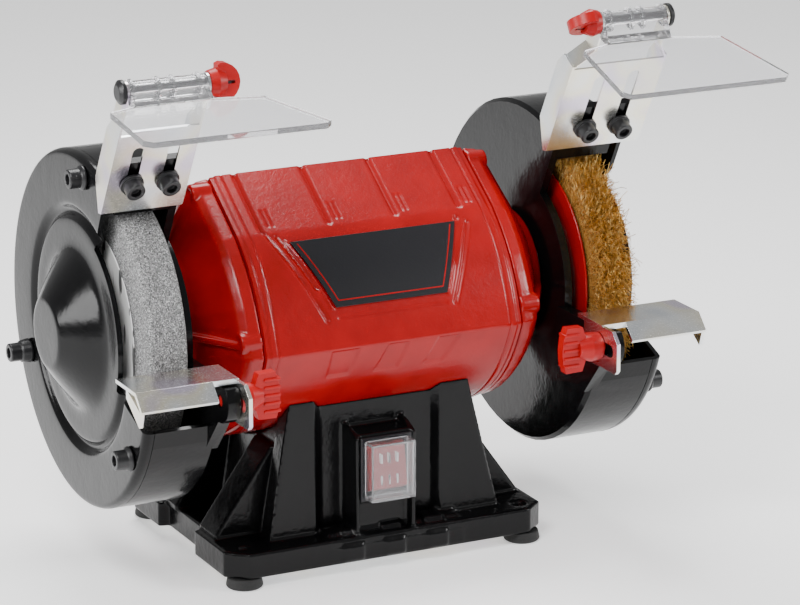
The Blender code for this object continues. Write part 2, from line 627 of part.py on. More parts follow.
# ---------------------------------------------------------------- tool rests
def tool_rest(name, side):
    """Bent plate in front of the wheel: table, drooping lip and a slotted clamping flange."""
    inner, outer = REST_IN, (0.1570 if side < 0 else 0.1600)
    front = REST_BACK - REST_DEPTH
    thick = 0.002
    bent = [(REST_BACK, REST_TOP), (front, REST_TOP), (front - 0.0078, REST_TOP - 0.0080),
            (front - 0.0066, REST_TOP - 0.0095), (front + 0.0008, REST_TOP - thick),
            (REST_BACK, REST_TOP - thick)]
    rest = add(name, prism(bent, "x", side * inner, side * outer), ZINC, machine)
    notch = sorted((side * (inner - 0.001), side * NOTCH_END))
    cut(rest, box(notch, (front - 0.02, front), (REST_TOP - 0.02, REST_TOP + 0.01)))
    flange = [(-0.0835, REST_TOP - 0.0005), (-0.0835, 0.1075), (-0.0860, 0.1050), (-0.1165, 0.1050),
              (-0.1185, 0.1070), (-0.1185, 0.1215), (-0.1130, REST_TOP - 0.0005)]
    join(rest, prism(flange, "x", side * inner, side * (inner + thick)))
    gusset = [(front + 0.012, REST_TOP - 0.001), (front - 0.0066, REST_TOP - 0.0090),
              (front - 0.0042, REST_TOP - 0.017), (front + 0.012, REST_TOP - 0.006)]
    join(rest, prism(gusset, "x", side * (outer - thick), side * outer))
    cut(rest, prism(slot((-0.0905, KNOB_Z), (-0.1110, KNOB_Z), 0.0034), "x", side * 0.098, side * 0.108))


# ---------------------------------------------------------------- wheels
def grinding_wheel():
    bore = 0.0065
    add("grinding_wheel", turned([(-WHEEL_OUT, bore), (-WHEEL_OUT, 0.0735), (-WHEEL_OUT + 0.0015, WHEEL_R),
                                  (-WHEEL_IN - 0.0015, WHEEL_R), (-WHEEL_IN, 0.0735), (-WHEEL_IN, bore)],
                                 steps=56), STONE, axle)
    face = WHEEL_OUT + GAP
    add("wheel_label", turned([(-face, 0.0065), (-face - 0.0005, 0.0065), (-face - 0.0005, 0.054),
                               (-face, 0.054)], steps=40), PAPER, axle)
    flange_in = [(0.1125, 0.0065), (0.1167, 0.0065), (0.1167, 0.026), (0.1145, 0.027), (0.1125, 0.012)]
    add("wheel_flange_inner", turned([(-x, r) for x, r in flange_in], steps=28), STEEL, axle)
    label = face + 0.0005 + GAP
    flange_out = [(label, 0.0065), (label, 0.027), (label + 0.002, 0.026), (label + 0.0042, 0.012),
                  (label + 0.0042, 0.0065)]
    add("wheel_flange_outer", turned([(-x, r) for x, r in flange_out], steps=28), STEEL, axle)
    add("wheel_nut", nut(-(label + 0.0045), -(label + 0.0105)), STEEL, axle)


def nut(start, end):
    """A hexagon nut, bored to clear the shaft's thread."""
    shape = bmesh.new()
    rings = []
    for x, radius in ((start, 0.0108), (end, 0.0108), (end, 0.0063), (start, 0.0063)):
        ring = []
        for i in range(12):
            a = math.radians(30 * i)
            reach = radius if radius < 0.01 else radius * (1.0 if i % 2 == 0 else math.cos(math.radians(30)))
            ring.append(shape.verts.new((x, -reach * math.cos(a), reach * math.sin(a))))
        rings.append(ring)
    bridge_rings(shape, rings, 12)
    return shape


def brush_wheel():
    """Wire ring clamped between two pressed red discs, with a ribbed hub flange."""
    add("brush_bristles", turned([(0.1185, 0.0365), (0.1355, 0.0365), (0.1372, 0.060), (0.1372, 0.0735),
                                  (0.1355, WHEEL_R), (0.1185, WHEEL_R), (0.1168, 0.0735), (0.1172, 0.0625)],
                                 steps=48), BRASS, axle)
    spool = [(0.1155, 0.0065), (0.1155, 0.061), (0.1167, 0.061), (0.1180, 0.036), (0.1360, 0.036),
             (0.1378, 0.0595), (0.1388, 0.061), (0.1388, 0.0065)]
    add("brush_discs", turned(spool, steps=40), RED, axle)
    flange_in = [(0.1112, 0.0065), (0.1112, 0.044), (0.1135, 0.045), (0.1152, 0.044), (0.1152, 0.0065)]
    add("brush_flange_inner", turned(flange_in, steps=36), STEEL, axle)
    flange_out = [(0.1391, 0.0065), (0.1391, 0.027), (0.1410, 0.026), (0.1428, 0.012), (0.1428, 0.0065)]
    add("brush_flange_outer", turned(flange_out, steps=28), STEEL, axle)
    add("brush_nut", nut(0.1431, 0.1492), STEEL, axle)


# ---------------------------------------------------------------- badge
def badge_plate():
    """Thin trapezoid that follows the housing's bowed upper front."""
    centre, radius, low, high = bow(WAIST, SHOULDER, FACET_BOW)
    bottom = low + (high - low) * 0.25
    top = low + (high - low) * 0.87
    shape = bmesh.new()
    rows = 4
    rings = []
    for lift, order in ((GAP, range(rows + 1)), (GAP + 0.001, range(rows, -1, -1))):
        for row in order:
            share = row / rows
            angle = math.radians(bottom + (top - bottom) * share)
            forward = centre.x + (radius + lift) * math.cos(angle)
            up = centre.y + (radius + lift) * math.sin(angle)
            half_width = 0.0314 + (0.0469 - 0.0314) * share
            rings.append([shape.verts.new((x, -forward, up))
                          for x in (BADGE_X - half_width, BADGE_X + half_width)])
    for ring, after in zip(rings, rings[1:] + rings[:1]):
        shape.faces.new((ring[0], ring[1], after[1], after[0]))
    for end in (0, 1):
        for row in range(rows):
            shape.faces.new([rings[i][end] for i in (row, row + 1, 2 * rows - row, 2 * rows + 1 - row)])
    add("badge_plate", shape, BLACK, axle)


# ---------------------------------------------------------------- the whole machine
base_casting()
under_base()
switch()
motor_housing()
motor_inside()
badge_plate()
grinding_wheel()
brush_wheel()
for side_name, side_sign in (("left", -1), ("right", 1)):
    end_bell("end_bell_" + side_name, side_sign)
    wheel_guard("wheel_guard_" + side_name, side_sign)
    guard_cover("guard_cover_" + side_name, side_sign)
    cover_screws(side_name, side_sign)
    spark_guard(side_name, SPARK_GUARD[side_name])
    tool_rest("tool_rest_" + side_name, side_sign)
    turn = empty("rest_knob_turn_" + side_name, machine, (side_sign * (REST_IN - GAP), KNOB_Y, KNOB_Z),
                 (0, 0, math.pi if side_sign > 0 else 0.0))
    rest_knob("rest_knob_" + side_name, turn)
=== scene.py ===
"""The bench grinder's looks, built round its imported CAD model. Metres, +Z up, operator at -Y."""

import json
import math

import bmesh
import bpy
import numpy as np
from mathutils import Matrix, Vector


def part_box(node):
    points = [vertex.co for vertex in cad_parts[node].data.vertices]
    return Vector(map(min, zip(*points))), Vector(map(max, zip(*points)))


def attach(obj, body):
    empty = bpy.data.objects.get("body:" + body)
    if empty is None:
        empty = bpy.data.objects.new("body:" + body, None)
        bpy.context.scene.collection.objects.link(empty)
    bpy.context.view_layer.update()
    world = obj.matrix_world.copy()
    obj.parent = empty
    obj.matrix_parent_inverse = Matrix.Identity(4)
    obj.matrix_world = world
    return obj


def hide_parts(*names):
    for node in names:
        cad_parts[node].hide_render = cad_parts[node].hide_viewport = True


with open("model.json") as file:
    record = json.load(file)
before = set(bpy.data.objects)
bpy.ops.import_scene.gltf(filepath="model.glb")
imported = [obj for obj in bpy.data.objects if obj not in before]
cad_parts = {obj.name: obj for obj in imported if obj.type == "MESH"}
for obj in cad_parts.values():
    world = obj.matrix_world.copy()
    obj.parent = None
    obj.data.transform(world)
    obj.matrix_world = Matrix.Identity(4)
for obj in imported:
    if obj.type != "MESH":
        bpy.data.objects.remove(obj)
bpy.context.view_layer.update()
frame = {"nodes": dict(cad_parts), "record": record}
NODES = frame["nodes"]
RECORD = frame["record"]
BODY_OF = {node: body for body, nodes in RECORD["behaviour"]["bodies"].items() for node in nodes}
SLOT_OF = {part["node"]: part["material_slot"] for part in RECORD["subparts"]}

SHAFT_Z = 0.131
ORIGIN = Vector((-0.0140, 0.0208, 0.0))            # the machine's middle, in the frame
AXLE = ORIGIN + Vector((0, 0, SHAFT_Z))
HOUSING_HALF = 0.073
RIDGE = (0.0, 0.072)                               # housing outline, as (forward, up) from the shaft
SHOULDER = (0.0353, 0.0486)
WAIST = (0.069, -0.001)
LEDGE = (0.071, -0.007)
KEEL = (0.0, -0.068)
FACET_BOW = 0.0045
BELLY_BOW = 0.012
BADGE_X = 0.0005
BADGE_LIFT = 0.0013                                # badge's face above the housing
FINE = 0.0007                                      # spacing of the housing's surface grid
INNER_SKIN = 0.955                                 # the housing's inside, as a share of its outline
WHITE = (1.0, 1.0, 1.0, 1.0)


# ---------------------------------------------------------------- materials
class Finish:
    """A Principled material built from object-space noise."""

    def __init__(self, name, colour, roughness, metallic=0.0, coat=0.0, ior=1.5, transmission=0.0,
                 specular=0.5):
        self.material = bpy.data.materials.new(name)
        self.material.use_nodes = True
        self.tree = self.material.node_tree
        self.shader = self.tree.nodes["Principled BSDF"]
        self.place = self.node("ShaderNodeTexCoord").outputs["Object"]
        self.normal = None
        values = {"Base Color": (*colour, 1.0), "Roughness": roughness, "Metallic": metallic,
                  "Coat Weight": coat, "Coat Roughness": 0.05, "IOR": ior,
                  "Transmission Weight": transmission, "Specular IOR Level": specular}
        for socket, value in values.items():
            self.shader.inputs[socket].default_value = value

    def node(self, kind, **inputs):
        made = self.tree.nodes.new(kind)
        for socket, value in inputs.items():
            made.inputs[socket].default_value = value
        return made

    def link(self, output, target):
        self.tree.links.new(output, target)

    def stretched(self, stretch):
        scaled = self.node("ShaderNodeMapping")
        scaled.inputs["Scale"].default_value = stretch
        self.link(self.place, scaled.inputs["Vector"])
        return scaled.outputs["Vector"]

    def noise(self, scale, detail=2.0, stretch=None):
        made = self.node("ShaderNodeTexNoise", Scale=scale, Detail=detail)
        self.link(self.stretched(stretch) if stretch else self.place, made.inputs["Vector"])
        return made.outputs["Fac"]

    def cells(self, scale):
        made = self.node("ShaderNodeTexVoronoi", Scale=scale)
        self.link(self.place, made.inputs["Vector"])
        return made

    def bump(self, height, depth, strength=1.0):
        made = self.node("ShaderNodeBump", Distance=depth, Strength=strength)
        self.link(height, made.inputs["Height"])
        if self.normal:
            self.link(self.normal, made.inputs["Normal"])
        self.normal = made.outputs["Normal"]
        self.link(self.normal, self.shader.inputs["Normal"])
        return self

    def ramp(self, factor, stops, socket="Base Color"):
        made = self.node("ShaderNodeValToRGB")
        elements = made.color_ramp.elements
        while len(elements) < len(stops):
            elements.new(0.5)
        for element, (position, colour) in zip(elements, stops):
            element.position = position
            element.color = (*colour, 1.0) if isinstance(colour, tuple) else (colour, colour, colour, 1.0)
        self.link(factor, made.inputs["Fac"])
        self.link(made.outputs["Color"], self.shader.inputs[socket])
        return self


def red_enamel(name):
    finish = Finish(name, (0.27, 0.0005, 0.0015), 0.26, coat=0.08, specular=0.30)
    finish.bump(finish.noise(900.0), 0.00007)
    finish.bump(finish.noise(260.0), 0.00012)
    finish.ramp(finish.noise(60.0), [(0.35, (0.27, 0.0004, 0.0012)), (0.65, (0.32, 0.0006, 0.0018))])
    return finish.material


def black_enamel(name, depth, roughness):
    finish = Finish(name, (0.0025, 0.0025, 0.0028), roughness, specular=0.20)
    finish.bump(finish.noise(420.0), depth)
    finish.bump(finish.noise(90.0), depth * 2)
    finish.ramp(finish.noise(150.0), [(0.3, roughness * 0.8), (0.7, roughness * 1.3)], "Roughness")
    return finish.material


def zinc():
    finish = Finish("zinc plate", (0.8, 0.8, 0.8), 0.26, metallic=1.0)
    finish.ramp(finish.noise(34.0, 1.0), [(0.30, (0.62, 0.66, 0.72)), (0.45, (0.78, 0.79, 0.78)),
                                          (0.58, (0.80, 0.76, 0.64)), (0.68, (0.66, 0.60, 0.70))])
    finish.ramp(finish.noise(700.0, 2.0, (1.0, 6.0, 6.0)), [(0.3, 0.20), (0.7, 0.28)], "Roughness")
    finish.bump(finish.noise(120.0), 0.00006)
    return finish.material


def turned_steel():
    finish = Finish("bright steel", (0.62, 0.62, 0.63), 0.28, metallic=1.0)
    finish.bump(finish.noise(1400.0), 0.00004)
    return finish.material


def black_oxide():
    finish = Finish("black oxide", (0.010, 0.010, 0.011), 0.34, specular=0.4)
    finish.bump(finish.noise(1500.0), 0.00005)
    return finish.material


def stone():
    finish = Finish("grinding stone", (0.33, 0.34, 0.34), 0.93)
    grit = finish.cells(1900.0)
    finish.ramp(grit.outputs["Color"], [(0.05, 0.03), (0.35, 0.13), (0.65, 0.24), (0.95, 0.55)])
    finish.bump(grit.outputs["Distance"], 0.0003)
    finish.bump(finish.noise(900.0, 3.0), 0.0003)
    return finish.material


def brass_wire():
    finish = Finish("brass wire", (0.80, 0.50, 0.13), 0.30, metallic=0.75)
    finish.ramp(finish.noise(420.0), [(0.32, (0.62, 0.32, 0.05)), (0.50, (0.95, 0.60, 0.16)),
                                      (0.66, (1.0, 0.80, 0.36))])
    return finish.material


def clear_plastic(name, tint):
    return Finish(name, tint, 0.02, ior=1.45, transmission=0.93).material


def plastic(name, colour, roughness, depth=0.00005):
    finish = Finish(name, colour, roughness, specular=0.3)
    finish.bump(finish.noise(800.0), depth)
    return finish.material


def laminations():
    finish = Finish("laminated iron", (0.25, 0.25, 0.26), 0.5, metallic=1.0)
    finish.bump(finish.noise(900.0, 0.0, (3.0, 0.05, 0.05)), 0.0003)
    return finish.material


def copper():
    finish = Finish("copper winding", (0.62, 0.22, 0.08), 0.3, metallic=0.8)
    finish.bump(finish.noise(600.0, 1.0, (4.0, 1.0, 1.0)), 0.0004)
    return finish.material


def paper():
    blank, ink = (0.86, 0.86, 0.85), (0.10, 0.10, 0.10)
    finish = Finish("paper label", blank, 0.75)
    finish.ramp(finish.noise(240.0, 1.0, (1.0, 1.0, 0.2)), [(0.60, blank), (0.63, ink)])
    return finish.material


FINISHES = {
    "red_housing": red_enamel("red enamel"),
    "black_base": black_enamel("black cast enamel", 0.00012, 0.20),
    "black_guard": black_enamel("black guard enamel", 0.00006, 0.15),
    "zinc_plate": zinc(),
    "bright_steel": turned_steel(),
    "black_oxide": black_oxide(),
    "laminated_iron": laminations(),
    "copper_winding": copper(),
    "grinding_stone": stone(),
    "paper_label": paper(),
    "brass_wire": brass_wire(),
    "red_disc": red_enamel("red disc enamel"),
    "clear_polycarbonate": clear_plastic("clear polycarbonate", (0.955, 0.955, 0.975)),
    "red_plastic": plastic("red plastic", (0.36, 0.0006, 0.002), 0.36),
    "black_plastic": plastic("black plastic", (0.012, 0.012, 0.014), 0.28),
    "rubber": plastic("rubber", (0.018, 0.018, 0.018), 0.6, 0.0002),
    "capacitor_can": plastic("capacitor can", (0.6, 0.6, 0.62), 0.5),
}


# Painted shade: the packed wire roots get a darker, rougher brass than the wires themselves.
def brass_in_painted_shade():
    finish = Finish("wire roots in painted shade", (0.36, 0.17, 0.03), 0.6, metallic=0.6)
    finish.bump(finish.noise(1200.0, 3.0), 0.0012)
    return finish.material


BRASS_IN_PAINTED_SHADE = brass_in_painted_shade()


# ---------------------------------------------------------------- making pieces
def piece(name, mesh, body, slot, *replaced):
    """Link a mesh as a piece that rides on a body, with the slot's finish."""
    made = bpy.data.objects.new(name, mesh)
    bpy.context.scene.collection.objects.link(made)
    mesh.materials.clear()
    mesh.materials.append(FINISHES[slot])
    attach(made, body)
    if replaced:
        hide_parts(*replaced)
    return made


def to_mesh(name, shape):
    mesh = bpy.data.meshes.new(name)
    bmesh.ops.recalc_face_normals(shape, faces=shape.faces)
    shape.to_mesh(mesh)
    shape.free()
    return mesh


def grid_mesh(name, points, faces):
    """A mesh from an array of points and an array of four-cornered faces."""
    mesh = bpy.data.meshes.new(name)
    mesh.from_pydata(points.tolist(), [], faces.reshape(-1, 4).tolist())
    mesh.update()
    return mesh


def node_shape(node):
    """A CAD node's solid as a bmesh whose flat faces are whole again."""
    shape = bmesh.new()
    shape.from_mesh(NODES[node].data)
    for layers in (shape.loops.layers.float_vector, shape.loops.layers.uv):
        for layer in list(layers.values()):
            layers.remove(layer)
    bmesh.ops.remove_doubles(shape, verts=shape.verts, dist=2e-6)
    bmesh.ops.dissolve_limit(shape, angle_limit=math.radians(0.6), verts=shape.verts, edges=shape.edges)
    return shape


def modified(made, *modifiers):
    """Apply modifiers, given as (type, settings) pairs."""
    for kind, settings in modifiers:
        modifier = made.modifiers.new(kind.lower(), kind)
        for key, value in settings.items():
            setattr(modifier, key, value)
    done = bpy.data.meshes.new_from_object(made.evaluated_get(bpy.context.evaluated_depsgraph_get()))
    made.modifiers.clear()
    made.data = done
    return made


def smoothed(made, angle=34.0):
    made.data.shade_smooth()
    made.data.set_sharp_from_angle(angle=math.radians(angle))
    return made


def rounded(made, width, angle):
    """Round the edges sharper than an angle, with the flats beside them shaded flat."""
    bevel = {"width": width, "segments": 2, "limit_method": "ANGLE", "angle_limit": math.radians(angle)}
    return modified(made, ("BEVEL", bevel), ("WEIGHTED_NORMAL", {"keep_sharp": True, "weight": 90}))


def crisp(node, width):
    """The node with its edges rounded by a small bevel."""
    made = piece(node + "_finished", to_mesh(node, node_shape(node)), BODY_OF[node], SLOT_OF[node], node)
    return rounded(smoothed(made), width, 28.0)


def cast(node, voxel, rounds, extra=()):
    """The node as a casting: joined with its extra solids, edges melted round."""
    shape = node_shape(node)
    for solid in extra:
        spare = to_mesh("extra", solid)
        shape.from_mesh(spare)
        bpy.data.meshes.remove(spare)
    made = piece(node + "_finished", to_mesh(node, shape), BODY_OF[node], SLOT_OF[node], node)
    modified(made, ("REMESH", {"mode": "VOXEL", "voxel_size": voxel}),
             ("SMOOTH", {"factor": 0.5, "iterations": rounds}))
    made.data.shade_smooth()
    return made


def prism(outline, axis, start, end):
    """A solid from an outline pushed along an axis; the outline's two values are the other axes."""
    shape = bmesh.new()
    rings = []
    for along in (start, end):
        rings.append([shape.verts.new({"x": (along, a, b), "y": (a, along, b), "z": (a, b, along)}[axis])
                      for a, b in outline])
    count = len(outline)
    for i in range(count):
        j = (i + 1) % count
        shape.faces.new((rings[0][i], rings[0][j], rings[1][j], rings[1][i]))
    shape.faces.new(rings[0])
    shape.faces.new(rings[1])
    return shape


def block(x_ends, y_ends, z_ends):
    """A box from its two ends along each axis."""
    (left, right), (bottom, top) = x_ends, z_ends
    return prism([(left, bottom), (right, bottom), (right, top), (left, top)], "y", *y_ends)


def turned(profile, steps):
    """Turn an open profile of (along X, radius) round the X axis; ends at radius 0 are closed."""
    shape = bmesh.new()
    rings = []
    for along, radius in profile:
        count = 1 if radius == 0 else steps
        rings.append([shape.verts.new((along, radius * math.cos(2 * math.pi * i / steps),
                                       radius * math.sin(2 * math.pi * i / steps))) for i in range(count)])
    for ring, after in zip(rings, rings[1:]):
        for i in range(steps):
            j = (i + 1) % steps
            corners = [ring[i % len(ring)], ring[j % len(ring)],
                       after[j % len(after)], after[i % len(after)]]
            unique = list(dict.fromkeys(corners))
            if len(unique) > 2:
                shape.faces.new(unique)
    return shape


def moved(shape, place, turn=None):
    if turn:
        bmesh.ops.transform(shape, matrix=turn, verts=shape.verts)
    bmesh.ops.translate(shape, verts=shape.verts, vec=place)
    return shape


# ---------------------------------------------------------------- red housing
def bowed(start, end, sagitta, count):
    """Points of a shallow arc from start up to, but not including, end."""
    start, end = Vector(start), Vector(end)
    outward = Vector((end.y - start.y, -(end.x - start.x))).normalized()
    if outward.dot(start + end) < 0:
        outward = -outward
    return [tuple(start.lerp(end, i / count) + outward * sagitta * 4 * (i / count) * (1 - i / count))
            for i in range(count)]


def outline_points():
    """Half of the housing's outline, from ridge to keel, evenly spaced and with eased corners."""
    half = bowed(RIDGE, SHOULDER, 0.0, 60) + bowed(SHOULDER, WAIST, FACET_BOW, 90)
    half += bowed(WAIST, LEDGE, 0.0, 10) + bowed(LEDGE, KEEL, BELLY_BOW, 140) + [KEEL]
    half = np.array(half)
    lengths = np.concatenate([[0], np.cumsum(np.linalg.norm(np.diff(half, axis=0), axis=1))])
    even = np.linspace(0, lengths[-1], int(lengths[-1] / FINE))
    points = np.stack([np.interp(even, lengths, half[:, 0]), np.interp(even, lengths, half[:, 1])], axis=1)
    eased = points.copy()
    for _ in range(2):
        eased[1:-1] = (eased[:-2] + eased[1:-1] + eased[2:]) / 3
    return even, eased


def groove(x, s, start, end, half_width, depth):
    """V groove along the line from start to end, in the unrolled (x, s) surface."""
    ax, ay = start
    dx, dy = end[0] - ax, end[1] - ay
    along = np.clip(((x - ax) * dx + (s - ay) * dy) / (dx * dx + dy * dy), 0, 1)
    away = np.hypot(x - ax - along * dx, s - ay - along * dy)
    return -depth * np.clip(1 - away / half_width, 0, 1)


def panel(x, up, corners, depth, wall):
    """Recess inside a convex polygon whose corners run anticlockwise."""
    inside = np.full(x.shape, 1e9)
    for (ax, ay), (bx, by) in zip(corners, corners[1:] + corners[:1]):
        length = math.hypot(bx - ax, by - ay)
        inside = np.minimum(inside, ((bx - ax) * (up - ay) - (by - ay) * (x - ax)) / length)
    return -depth * np.clip(inside / wall, 0, 1)


ROOF_LENGTH = math.hypot(SHOULDER[0], RIDGE[1] - SHOULDER[1])
FACET_LENGTH = math.hypot(WAIST[0] - SHOULDER[0], SHOULDER[1] - WAIST[1])


def down_facet(up):
    """Unrolled distance of a height on the upper front."""
    return ROOF_LENGTH + FACET_LENGTH * (SHOULDER[1] - up) / (SHOULDER[1] - WAIST[1])


def housing_relief(x, s, up, front):
    """How far the surface stands off its plain outline, over the whole grid."""
    relief = np.zeros(x.shape)
    # Grooves down the roof, each with two short fine ones beside it.
    for at in (-0.059, -0.021, 0.017, 0.054):
        relief += groove(x, s, (at, 0.001), (at, ROOF_LENGTH - 0.002), 0.0020, 0.0015)
        for aside in (0.005, 0.0078):
            relief += groove(x, s, (at + aside, ROOF_LENGTH - 0.015), (at + aside, ROOF_LENGTH - 0.004),
                             0.0008, 0.0006)
    # Slanted grooves at the badge's sides, a fine one under it, and a raised fold along each side.
    slanted = [((-0.0584, 0.0491), (-0.0365, 0.0060)), ((-0.0522, 0.0461), (-0.0395, 0.0200)),
               ((0.0548, 0.0414), (0.0364, 0.0065)), ((0.0500, 0.0445), (0.0400, 0.0240))]
    facet = np.zeros(x.shape)
    for start, end in slanted:
        facet += groove(x, s, (start[0], down_facet(start[1])), (end[0], down_facet(end[1])), 0.0016, 0.0011)
    facet += groove(x, s, (-0.030, down_facet(0.0065)), (0.031, down_facet(0.0065)), 0.0010, 0.0005)
    for side, top, bottom in ((-1, -0.0478, -0.0329), (1, 0.0495, 0.0333)):
        facet -= 0.8 * groove(x, s, (top, down_facet(0.0432)), (bottom, down_facet(0.0105)), 0.0011, 0.0012)
    # Three shallow recesses under the ledge.
    for left, right, left_low, right_low in ((-0.0365, -0.0200, -0.0365, -0.0230),
                                             (-0.0045, 0.0080, -0.0100, 0.0040),
                                             (0.0240, 0.0374, 0.0184, 0.0300)):
        facet += panel(x, up, [(left_low, -0.0240), (right_low, -0.0240), (right, -0.0075), (left, -0.0075)],
                       0.0010, 0.0010)
    relief += np.where(front, facet, 0.0)
    # A step, a groove and an eased edge at both ends.
    end = np.abs(x)
    relief -= 0.0006 * np.clip((end - 0.0695) / 0.0008, 0, 1)
    relief -= 0.0005 * np.clip(1 - np.abs(end - 0.0660) / 0.0006, 0, 1)
    relief -= 0.0012 * np.clip((end - 0.0722) / 0.0008, 0, 1) ** 2
    return relief


def housing_shell():
    """The housing as one closed skin, its outer face finely gridded to carry the relief."""
    s_half, half = outline_points()
    forward = np.concatenate([half[:, 0], -half[-2:0:-1, 0]])
    up = np.concatenate([half[:, 1], half[-2:0:-1, 1]])
    s = np.concatenate([s_half, s_half[-2:0:-1]])
    tangent = np.stack([np.roll(forward, -1) - np.roll(forward, 1), np.roll(up, -1) - np.roll(up, 1)])
    tangent /= np.linalg.norm(tangent, axis=0)
    normal = np.stack([-tangent[1], tangent[0]])
    if (normal[0] * forward + normal[1] * up).sum() < 0:
        normal = -normal
    columns = np.linspace(-HOUSING_HALF, HOUSING_HALF, int(2 * HOUSING_HALF / FINE))
    x, s_grid = np.meshgrid(columns, s, indexing="ij")
    up_grid = np.broadcast_to(up, x.shape)
    front = np.broadcast_to(forward > 0, x.shape)
    relief = housing_relief(x, s_grid, up_grid, front)
    rings = [np.stack([x[i], -(forward + normal[0] * relief[i]), up + normal[1] * relief[i]], axis=1)
             for i in range(len(columns))]
    for at in (HOUSING_HALF, -HOUSING_HALF):
        rings.append(np.stack([np.full(len(s), at), -forward * INNER_SKIN, up * INNER_SKIN], axis=1))
    points = np.concatenate(rings) + np.array(AXLE)
    across = len(s)
    i, j = np.meshgrid(np.arange(len(rings)), np.arange(across), indexing="ij")
    after, beside = (i + 1) % len(rings), (j + 1) % across
    faces = np.stack([i * across + j, i * across + beside, after * across + beside, after * across + j],
                     axis=-1)
    mesh = grid_mesh("housing shell", points, faces)
    shape = bmesh.new()
    shape.from_mesh(mesh)
    bmesh.ops.recalc_face_normals(shape, faces=shape.faces)
    shape.to_mesh(mesh)
    shape.free()
    smoothed(piece("housing_shell", mesh, "housing", "red_housing", "motor_housing"), 50)


def facet_point(x, share, lift):
    """A point over the bowed upper front; share runs from waist to shoulder."""
    waist, shoulder = Vector(WAIST), Vector(SHOULDER)
    out = Vector((shoulder.y - waist.y, waist.x - shoulder.x)).normalized()
    place = waist.lerp(shoulder, share) + out * (FACET_BOW * 4 * share * (1 - share) + lift)
    return AXLE + Vector((x, -place.x, place.y))


def badge_line():
    """Thin red line set in from the badge's left, bottom and right edges."""
    bottom, top = 0.25, 0.87                       # the badge's ends, as shares of the facet
    half_low, half_high = 0.0314, 0.0469           # its half widths there
    inset, width, thickness, steps = 0.0026, 0.0007, 0.00012, 8
    rise = inset / FACET_LENGTH
    tall = width / FACET_LENGTH
    low, high = bottom + rise, top - rise * 0.4
    shape = bmesh.new()

    def edge(share, inward):
        return half_low + (half_high - half_low) * (share - bottom) / (top - bottom) - inward

    def strip(rows):
        pairs = [[shape.verts.new(facet_point(x, share, BADGE_LIFT + thickness)) for x, share in row]
                 for row in rows]
        for pair, after in zip(pairs, pairs[1:]):
            shape.faces.new((pair[0], pair[1], after[1], after[0]))

    shares = [low + (high - low) * i / steps for i in range(steps + 1)]
    for side in (-1, 1):
        strip([[(BADGE_X + side * edge(share, inset), share),
                (BADGE_X + side * edge(share, inset + width), share)] for share in shares])
    ends = edge(low, inset)
    strip([[(x, low), (x, low + tall)] for x in (BADGE_X - ends, BADGE_X + ends)])
    modified(piece("badge_line", to_mesh("badge line", shape), "housing", "red_housing"),
             ("SOLIDIFY", {"thickness": thickness, "offset": -1.0}))


# ---------------------------------------------------------------- end bells
def bell_details(side):
    """Bolt bosses round the rim, each with a counterbore, and ribs from them to the hub."""
    boss_profile = [(0.0735, 0), (0.0735, 0.0058), (0.0845, 0.0054), (0.0850, 0.0045),
                    (0.0850, 0.0028), (0.0815, 0.0028), (0.0815, 0)]
    boss_places = [(0.002, 0.0640), (0.0625, 0.0007), (0.0, -0.0600), (-0.0625, 0.0007)]
    rib_outline = [(0.0775, 0.0655), (0.0850, 0.0655), (0.1025, 0.0360), (0.1025, 0.0310), (0.0930, 0.0350)]
    rib_turns = [(0, 0.0016), (180, 0.0016), (90, 0.0012), (270, 0.0012)]
    solids = []
    for forward, up in boss_places:
        boss = turned([(side * along, radius) for along, radius in boss_profile], 28)
        solids.append(moved(boss, AXLE + Vector((0, -forward, up))))
    for degrees, half_thick in rib_turns:
        rib = prism([(side * along, -out) for along, out in rib_outline], "z", -half_thick, half_thick)
        solids.append(moved(rib, AXLE, Matrix.Rotation(math.radians(degrees), 4, "X")))
    return solids


def end_bell(name, side):
    cast("end_bell_" + name, 0.0008, 4, bell_details(side))


# ---------------------------------------------------------------- guard covers
def eased(profile, rounds=3):
    """Cut a profile's corners again and again, keeping its two ends."""
    for _ in range(rounds):
        points = [profile[0]]
        for (ax, ay), (bx, by) in zip(profile, profile[1:]):
            points.append((ax * 0.75 + bx * 0.25, ay * 0.75 + by * 0.25))
            points.append((ax * 0.25 + bx * 0.75, ay * 0.25 + by * 0.75))
        profile = points + [profile[-1]]
    return profile


def guard_window(side):
    """The wedge that opens a cover towards the operator."""
    inner, outer, near, far, steps = 0.055, 0.115, 0.130, 0.180, 16
    low, high = math.radians(-19.5), math.radians(62.0)
    angles = [low + (high - low) * i / steps for i in range(steps + 1)]
    outline = [(-inner * math.cos(a), inner * math.sin(a)) for a in angles]
    outline += [(-outer * math.cos(a), outer * math.sin(a)) for a in reversed(angles)]
    return moved(prism(outline, "x", side * near, side * far), AXLE)


